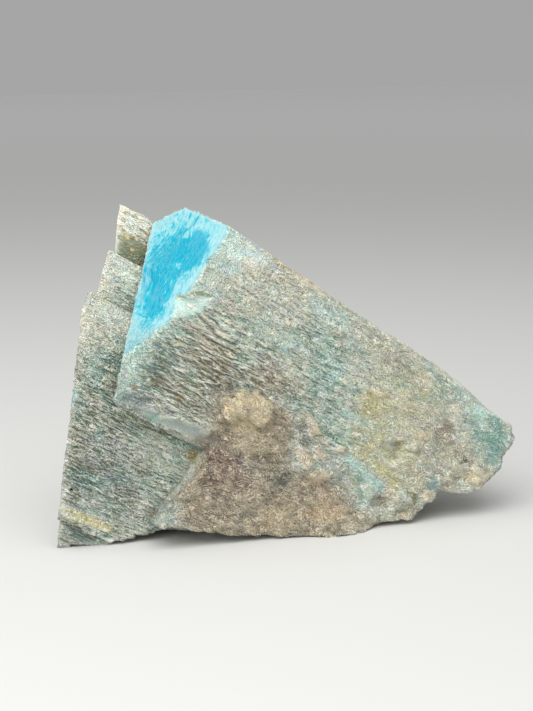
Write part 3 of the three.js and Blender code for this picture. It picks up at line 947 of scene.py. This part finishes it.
class Nodes:
    """Short calls that add shader nodes to one material and return what they give out."""

    def __init__(self, name):
        self.material = bpy.data.materials.new(name)
        self.material.use_nodes = True
        self.tree = self.material.node_tree
        self.shader = self.tree.nodes["Principled BSDF"]

    def add(self, kind, inputs, **settings):
        node = self.tree.nodes.new(kind)
        for name, value in settings.items():
            setattr(node, name, value)
        for name, value in inputs.items():
            self.join(value, node.inputs[name])
        return node

    def join(self, value, socket):
        if isinstance(value, bpy.types.NodeSocket):
            self.tree.links.new(value, socket)
        else:
            socket.default_value = value

    def number(self, name):
        return self.add("ShaderNodeAttribute", {}, attribute_name=name).outputs["Fac"]

    def vector(self, name):
        return self.add("ShaderNodeAttribute", {}, attribute_name=name).outputs["Vector"]

    def math(self, operation, a, b=0.0):
        return self.add("ShaderNodeMath", {0: a, 1: b}, operation=operation).outputs[0]

    def plus(self, a, b):
        return self.math("ADD", a, b)

    def minus(self, a, b):
        return self.math("SUBTRACT", a, b)

    def times(self, a, b):
        return self.math("MULTIPLY", a, b)

    def total(self, *parts):
        """The sum of numbers given as (number, its usual value, weight)."""
        result = 0.0
        for value, usual, weight in parts:
            result = self.plus(result, self.times(self.minus(value, usual), weight))
        return result

    def eased(self, value, low, high, start=0.0, end=1.0):
        """From start at low to end at high, eased between them."""
        inputs = {"Value": value, "From Min": low, "From Max": high, "To Min": start, "To Max": end}
        kind = "ShaderNodeMapRange"
        return self.add(kind, inputs, interpolation_type="SMOOTHSTEP").outputs["Result"]

    def mix(self, share, a, b, blend="MIX"):
        inputs = {"Factor": share, 6: a, 7: b}
        settings = {"data_type": "RGBA", "blend_type": blend, "clamp_factor": True}
        return self.add("ShaderNodeMix", inputs, **settings).outputs[2]

    def vectors(self, operation, a, b):
        return self.add("ShaderNodeVectorMath", {0: a, 1: b}, operation=operation).outputs[0]

    def length(self, vector):
        return self.add("ShaderNodeVectorMath", {0: vector}, operation="LENGTH").outputs["Value"]

    def texture(self, kind, vector, scale, settings=None, **inputs):
        """A texture whose detail is finer along an axis, the greater its scale there."""
        scaled = {"Vector": self.vectors("MULTIPLY", vector, scale), "Scale": 1.0}
        return self.add("ShaderNodeTex" + kind, {**scaled, **inputs}, **(settings or {})).outputs

    def noise(self, vector, scale, detail=2.0, roughness=0.5, distortion=0.0):
        inputs = {"Detail": detail, "Roughness": roughness, "Distortion": distortion}
        return self.texture("Noise", vector, scale, **inputs)["Fac"]

    def hues(self, vector):
        """Three smooth random numbers about 0.5, as a colour."""
        return self.texture("Noise", vector, (0.4, 0.7, 0.7), Detail=1.5)["Color"]

    def bent(self, vector, scale, reach):
        """The vector, moved by smooth noise."""
        moves = self.texture("Noise", vector, scale, Detail=1.0)["Color"]
        centred = self.vectors("SUBTRACT", moves, (0.5, 0.5, 0.5))
        return self.vectors("ADD", vector, self.vectors("MULTIPLY", centred, reach))

    def threads(self, vector, scale, width, detail=2.0):
        """1 along wandering threads, falling to 0 between them."""
        level = self.noise(vector, scale, detail, 0.6)
        return self.eased(self.math("ABSOLUTE", self.minus(level, 0.5)), width, 0.0)

    def folds(self, vector, scale, width, drop):
        """1 on thin wandering lines and below 0 just beneath them, which paints shade under each line.
        """
        raised = self.threads(vector, scale, width, 1.0)
        above = self.vectors("ADD", vector, (0, -0.3 * drop, drop))
        beneath = self.threads(above, scale, width, 1.0)
        return self.minus(raised, self.times(self.times(beneath, self.minus(1.0, raised)), 0.9))

    def rims(self, vector, scale, width):
        """1 on the rims between scattered cells, falling to 0 inside them."""
        cells = self.texture("Voronoi", vector, scale, {"feature": "DISTANCE_TO_EDGE"})
        return self.eased(cells["Distance"], width, 0.0)

    def flecks(self, vector, scale, rarity, strength):
        """Small scattered dots; the rarer, the nearer rarity is to 1."""
        cells = self.texture("Voronoi", vector, scale)
        chosen = self.eased(cells["Color"], rarity - 0.01, rarity + 0.01, 0, strength)
        return self.times(self.eased(cells["Distance"], 0.28, 0.12), chosen)

    def spot(self, vector, middle, radius):
        """1 near one place, falling to 0 at the radius."""
        return self.eased(self.length(self.vectors("SUBTRACT", vector, middle)), radius, radius * 0.6)


# The stone's colours as the photo's light shows them, red, green and blue from 0 to 255.
STONE = {
    "ground": (206, 216, 204),
    "pale": (226, 233, 220),
    "dark": (160, 170, 160),
    "matrix": (174, 164, 146),
    # Pale crests; they also serve as painted highlight on the raised relief and along the convex edges.
    "crest": (248, 252, 238),
    "gilt": (250, 244, 220),
    # Painted shade beneath the crests where the stone is striated.
    "trough": (112, 106, 84),
    "deep": (92, 108, 98),
    "crust": (234, 220, 192),
    "gold": (194, 174, 112),
    "straw": (226, 208, 148),
    "rust": (126, 104, 60),
    # Painted shade: in a small hollow, and in the deep creases.
    "hollow_shade": (88, 88, 62),
    "painted_shade": (112, 106, 86),
    "speck": (36, 26, 26),
    # The tints.
    "teal": (112, 174, 164),
    "cyan": (182, 226, 216),
    "beige": (204, 197, 170),
    "yellow": (216, 204, 132),
    "brown": (162, 150, 130),
    "mauve": (164, 140, 130),
    "cream": (244, 226, 184),
    "salmon": (226, 196, 160),
    "slate": (136, 150, 152),
    "ice": (206, 242, 240),
    "deep_teal": (104, 160, 152),
    # Painted shade in olive.
    "olive_shade": (128, 135, 106),
    "lemon": (208, 203, 146),
    "band": (168, 214, 206),
    "facet": (142, 168, 170),
    "seam": (240, 242, 226),
    "chalk": (232, 238, 226),
}
# The end face's colours, as the photo's light shows them.
END = {
    "pale": (160, 230, 238),
    "middle": (0, 207, 229),
    "core": (0, 184, 216),
    "wisp": (206, 244, 248),
    "haze": (126, 190, 196),
    "frost": (206, 234, 232),
    "shadow": (84, 136, 140),
}


def tinted(nodes, crystal, tone, clouds):
    """The stone's own colour: grey-green in clouds, brown matrix, the tints, and a drift of hue."""
    blotches = nodes.noise(crystal, (0.5, 0.9, 0.9), 6, 0.72)
    tint = nodes.mix(nodes.eased(clouds, 0.44, 0.6), tone["ground"], tone["pale"])
    tint = nodes.mix(nodes.eased(blotches, 0.5, 0.36, 0, 0.7), tint, tone["dark"])
    tint = nodes.mix(nodes.number("matrix"), tint, tone["matrix"])
    ragged = nodes.times(nodes.minus(blotches, 0.5), 1.5)
    for name in TINTS:
        low, high = (0.25, 0.8) if name in CRUSTY else (0.05, 1.0)
        cover = nodes.eased(nodes.plus(nodes.number(name), ragged), low, high, 0, 0.9)
        tint = nodes.mix(cover, tint, tone[name])
    tint = nodes.mix(nodes.times(nodes.number("fringe"), 0.9), tint, tone["cyan"])
    hues = nodes.vectors("MULTIPLY", nodes.hues(crystal), (0.3, 0.25, 0.4))
    return nodes.mix(1.0, tint, nodes.vectors("ADD", hues, (0.85, 0.875, 0.8)), "MULTIPLY")


def stone_colour(nodes, crystal, fine, rusty):
    """The weathered stone, from its fine relief and from where rusty lines run along it."""
    tone = {name: linear(colour, LIGHT_ON_FRONT) for name, colour in STONE.items()}
    clouds = nodes.noise(crystal, (0.16, 0.3, 0.3), 5, 0.62)
    tint = tinted(nodes, crystal, tone, clouds)

    # Crests are frosted. Troughs take painted shade mixed with dark grain: the tint at half its
    # brightness, or where the stone is striated a dull dark colour.
    gilded = nodes.eased(nodes.noise(crystal, (0.25, 0.4, 0.4)), 0.4, 0.6)
    crest = nodes.mix(gilded, tone["crest"], tone["gilt"])
    crest = nodes.mix(nodes.number("matrix"), crest, tone["crust"])
    painted_shade = nodes.mix(nodes.eased(clouds, 0.45, 0.55), tone["trough"], tone["deep"])
    shade = nodes.mix(1.0, tint, (0.5, 0.5, 0.5, 1), "MULTIPLY")
    trough = nodes.mix(nodes.eased(nodes.number("striated"), 0.2, 0.8), shade, painted_shade)
    colour = nodes.mix(nodes.eased(fine, 0.05, 1.0, 0, 0.9), tint, crest)
    colour = nodes.mix(nodes.eased(fine, -0.1, -0.95, 0, 0.85), colour, trough)
    colour = nodes.mix(rusty, colour, tone["rust"])
    # Painted shade in the deep creases.
    colour = nodes.mix(nodes.eased(nodes.number("creases"), 0, 1, 0, 0.3), colour, tone["painted_shade"])
    # Painted highlight on the raised relief.
    colour = nodes.mix(nodes.times(nodes.number("ridges"), 0.28), colour, crest)
    # Painted highlight along the convex edges.
    colour = nodes.mix(nodes.eased(nodes.number("edge_highlight"), 0, 1, 0, 0.45), colour, tone["crest"])

    scattered = nodes.bent(crystal, (1.2, 1.2, 1.2), (1.4, 1.4, 1.4))
    colour = nodes.mix(nodes.flecks(scattered, (0.3, 0.8, 0.8), 0.88, 0.8), colour, tone["gold"])
    colour = nodes.mix(nodes.times(nodes.number("fringe"), 0.35), colour, tone["cyan"])
    uneven = nodes.bent(crystal, (2.2, 2.2, 2.2), (1.3, 1.3, 1.3))
    for name, spots in SPOTS.items():
        for *middle, radius in spots:
            colour = nodes.mix(nodes.spot(uneven, middle, radius), colour, tone[name])
    return colour


def end_colour(nodes, place, fine):
    """The silky turquoise of the end face; low down it shows the stone's fine relief."""
    shade = {name: linear(colour, LIGHT_ON_END) for name, colour in END.items()}
    core = nodes.number("core")
    haze = nodes.number("haze")
    brushed = nodes.bent(nodes.bent(place, (0.09, 1, 0.07), (9, 0, 9)), (0.3, 1, 0.2), (2.6, 0, 3.4))
    streaks = nodes.noise(brushed, (1.3, 1, 0.35), 4, 0.7)
    mottle = nodes.noise(place, (0.55, 1, 0.4), 5, 0.7, 0.6)
    veils = nodes.noise(brushed, (0.35, 1, 0.14), 3, 0.6)
    strokes = nodes.noise(brushed, (1.7, 1, 0.5), 2, 0.6)
    spread = ((strokes, 0.5, 2.4), (streaks, 0.5, 2.6), (mottle, 0.5, 3.4), (veils, 0.5, 2.4))
    depth = nodes.plus(core, nodes.total(*spread))
    silk = nodes.mix(nodes.eased(depth, 0.05, 0.7), shade["pale"], shade["middle"])
    silk = nodes.mix(nodes.eased(depth, 0.5, 1.15), silk, shade["core"])

    # Pale wisps and hairs are faint in the core.
    faint = nodes.eased(core, 0.2, 1.2, 0.5, 0.12)
    wisps = nodes.threads(brushed, (0.75, 1, 0.2), 0.1, 3)
    wisps = nodes.times(wisps, nodes.eased(veils, 0.46, 0.6, 0.1, 1))
    hairs = nodes.threads(brushed, (1.1, 1, 0.35), 0.075)
    silk = nodes.mix(nodes.times(wisps, faint), silk, shade["wisp"])
    silk = nodes.mix(nodes.times(hairs, faint), silk, shade["wisp"])
    silk = nodes.mix(nodes.times(haze, 0.6), silk, shade["haze"])
    # The pale rim, with the painted highlight along the end face's convex edges.
    silk = nodes.mix(nodes.times(nodes.number("verge"), 0.6), silk, shade["wisp"])
    bared = nodes.times(haze, fine)
    silk = nodes.mix(nodes.eased(bared, 0.02, 0.3, 0, 0.65), silk, shade["frost"])
    return nodes.mix(nodes.eased(bared, -0.02, -0.3, 0, 0.7), silk, shade["shadow"])


def fine_relief(nodes, crystal, along, grain, crumbs):
    """Relief too fine for the mesh, about -1 to 1: it colours the stone and dents its surface."""
    striated = nodes.number("striated")
    silky = nodes.number("silky")
    calm = nodes.number("calm")
    every_way = nodes.bent(crystal, (0.35, 0.35, 0.35), (3.4, 3.4, 3.4))

    # Folds run along the crystals where they are striated, and every way elsewhere.
    jitter = nodes.noise(along, (0.18, 0.9, 0.9), 2, 0.55)
    part = nodes.math("FRACT", nodes.total((nodes.number("stria"), 0, 1), (jitter, 0.5, 1.3)))
    shingles = nodes.times(nodes.eased(part, 0, 0.2), nodes.minus(1, part))
    shingles = nodes.times(nodes.minus(shingles, 0.4), nodes.number("broken"))
    ribs = nodes.folds(along, (0.06, 0.42, 0.42), 0.034, 0.4)
    long_folds = nodes.folds(along, (0.12, 0.8, 0.8), 0.06, 0.32)
    short_folds = nodes.folds(along, (0.4, 1.3, 1.3), 0.1, 0.25)
    scratches = nodes.folds(along, (0.6, 2.1, 2.1), 0.13, 0.2)
    threads = nodes.folds(every_way, (0.6, 0.8, 0.8), 0.058, 0.3)
    hairs = nodes.folds(every_way, (1.1, 1.4, 1.4), 0.09, 0.25)
    fibres = nodes.folds(every_way, (1.6, 2.3, 2.3), 0.13, 0.2)
    network = nodes.rims(every_way, (0.5, 0.6, 0.6), 0.12)

    rough = nodes.minus(1.0, nodes.times(striated, 0.5))
    rough = nodes.times(rough, nodes.minus(1.0, nodes.times(silky, 0.9)))
    bold = nodes.times(rough, nodes.minus(1.0, nodes.times(calm, 0.5)))
    gentle = nodes.times(rough, nodes.plus(1.0, nodes.times(calm, 1.2)))
    # Below 0 the colour darkens and above 0 it pales: dark grain and pale lines, and also painted shade
    # beneath the folds, at the shingles' drops and in the mesh's small hollows, and painted highlight
    # on its small crests.
    fine = nodes.total(
        (striated, 0, -0.18),
        (shingles, 0, nodes.times(striated, 0.8)),
        (ribs, 0.1, nodes.times(striated, 0.9)),
        (long_folds, 0.1, nodes.times(striated, 0.6)),
        (silky, 0, 0.15),
        (nodes.number("frosted"), 0, 0.4),
        (short_folds, 0.12, nodes.plus(0.3, nodes.times(striated, 0.2))),
        (scratches, 0.15, nodes.plus(0.25, nodes.times(striated, 0.1))),
        (threads, 0.0, nodes.times(bold, 0.9)),
        (hairs, 0.0, nodes.times(bold, 0.65)),
        (fibres, 0.0, nodes.times(gentle, 0.5)),
        (grain, 0.5, nodes.plus(0.9, nodes.times(calm, 0.4))),
        (crumbs, 0.5, 0.9),
        (nodes.number("crests"), 0.5, 0.9),
        (network, 0.25, nodes.times(nodes.number("blocky"), 0.5)),
    )
    fine = nodes.times(fine, nodes.number("crisp"))
    fine = nodes.times(fine, nodes.eased(nodes.number("smooth"), 0, 1, 1, 0.3))
    return nodes.plus(fine, nodes.times(nodes.number("fringe"), 0.25))


def stone_material():
    nodes = Nodes("amazonite")
    crystal = nodes.vector("crystal")
    end = nodes.number("end")
    along = nodes.bent(crystal, (0.12, 0.4, 0.4), (0, 1.8, 1.8))
    grain = nodes.noise(crystal, (2.2, 3.6, 3.6), 2, 0.7)
    crumbs = nodes.noise(crystal, (0.8, 1.3, 1.3), 3, 0.65)
    fine = fine_relief(nodes, crystal, along, grain, crumbs)

    lined = nodes.times(nodes.number("striated"), 0.2)
    lined = nodes.math("MAXIMUM", lined, nodes.times(nodes.number("silky"), 0.75))
    rusty = nodes.times(nodes.threads(along, (0.13, 0.62, 0.62), 0.042), lined)
    stone_side = stone_colour(nodes, crystal, fine, rusty)
    end_side = end_colour(nodes, nodes.vector("place"), fine)
    border = nodes.eased(nodes.total((end, 0, 1), (crumbs, 0.5, 1.6)), 0.3, 0.7)
    roughness = nodes.minus(nodes.eased(grain, 0.3, 0.7, 0.75, 0.45), nodes.times(end, 0.2))
    raised = nodes.times(fine, nodes.eased(end, 0, 1, 1, 0.3))
    bump = nodes.add("ShaderNodeBump", {"Height": raised, "Strength": 1.0, "Distance": BUMP_MM * MM})

    sockets = nodes.shader.inputs
    nodes.join(nodes.mix(border, stone_side, end_side), sockets["Base Color"])
    nodes.join(roughness, sockets["Roughness"])
    nodes.join(bump.outputs["Normal"], sockets["Normal"])
    sockets["Specular IOR Level"].default_value = SPECULAR
    return nodes.material


# ---- the piece ----

stone = fine_mesh(frame["nodes"]["amazonite_cluster"])
relieve(stone.data)
stone.data.transform(TO_ROW)
stone.data.polygons.foreach_set("use_smooth", [True] * len(stone.data.polygons))
stone.data.materials.clear()
stone.data.materials.append(stone_material())
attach(stone, "root")
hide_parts("amazonite_cluster")

# ---- the studio ----

FLOOR_SIZE = 3.0
FLOOR_ROUGHNESS = 0.7
# The floor is a little darker near the stone, and pale from the end of this span on, in metres.
FLOOR_NEAR = (0.7, 0.7, 0.68, 1)
FLOOR_FAR = (0.97, 0.97, 0.97, 1)
FLOOR_SPAN = (0.4, 1.3)
LIGHT_AIM = Vector((0, 0, 0.035))
WORLD_STRENGTH = 0.38
CAMERA_AZIMUTH = math.radians(-20)
CAMERA_ELEVATION = math.radians(12)
CAMERA_DISTANCE = 0.4
CAMERA_TARGET = Vector((-7.218, -17.195, 41.8)) * MM
LENS_MM = 90.94


def floor():
    mesh = bpy.data.meshes.new("floor")
    half = FLOOR_SIZE / 2
    corners = [(-half, -half, 0), (half, -half, 0), (half, half, 0), (-half, half, 0)]
    mesh.from_pydata(corners, [], [(0, 1, 2, 3)])
    nodes = Nodes("floor")
    away = nodes.length(nodes.add("ShaderNodeTexCoord", {}).outputs["Object"])
    colour = nodes.mix(nodes.eased(away, *FLOOR_SPAN), FLOOR_NEAR, FLOOR_FAR)
    nodes.join(colour, nodes.shader.inputs["Base Color"])
    nodes.shader.inputs["Roughness"].default_value = FLOOR_ROUGHNESS
    mesh.materials.append(nodes.material)
    placed("floor", mesh)


def light(name, place, size, power):
    lamp = bpy.data.lights.new(name, "AREA")
    lamp.shape = "RECTANGLE"
    lamp.size, lamp.size_y = size
    lamp.energy = power
    piece = placed(name, lamp)
    piece.location = place
    piece.rotation_euler = (Vector(place) - LIGHT_AIM).to_track_quat("Z", "Y").to_euler()


def camera():
    level = math.cos(CAMERA_ELEVATION)
    sideways = math.sin(CAMERA_AZIMUTH) * level
    forward = -math.cos(CAMERA_AZIMUTH) * level
    away = Vector((sideways, forward, math.sin(CAMERA_ELEVATION)))
    lens = bpy.data.cameras.new("camera")
    lens.lens = LENS_MM
    piece = placed("camera", lens)
    piece.location = CAMERA_TARGET + CAMERA_DISTANCE * away
    piece.rotation_euler = away.to_track_quat("Z", "Y").to_euler()
    bpy.context.scene.camera = piece


def surroundings():
    world = bpy.data.worlds.new("studio")
    world.use_nodes = True
    background = world.node_tree.nodes["Background"]
    background.inputs["Color"].default_value = (1, 1, 1, 1)
    background.inputs["Strength"].default_value = WORLD_STRENGTH
    bpy.context.scene.world = world


floor()
light("softbox_above", place=(-0.10, -0.16, 0.50), size=(0.65, 0.65), power=2.9)
light("softbox_left", place=(-0.45, -0.30, 0.30), size=(0.45, 0.5), power=1.65)
surroundings()
camera()
bpy.context.scene.view_settings.view_transform = "Standard"

# Blender's start-up objects aren't part of the scene.
for thing in list(bpy.data.objects):
    if thing.name in ("Cube", "Light", "Camera"):
        bpy.data.objects.remove(thing)
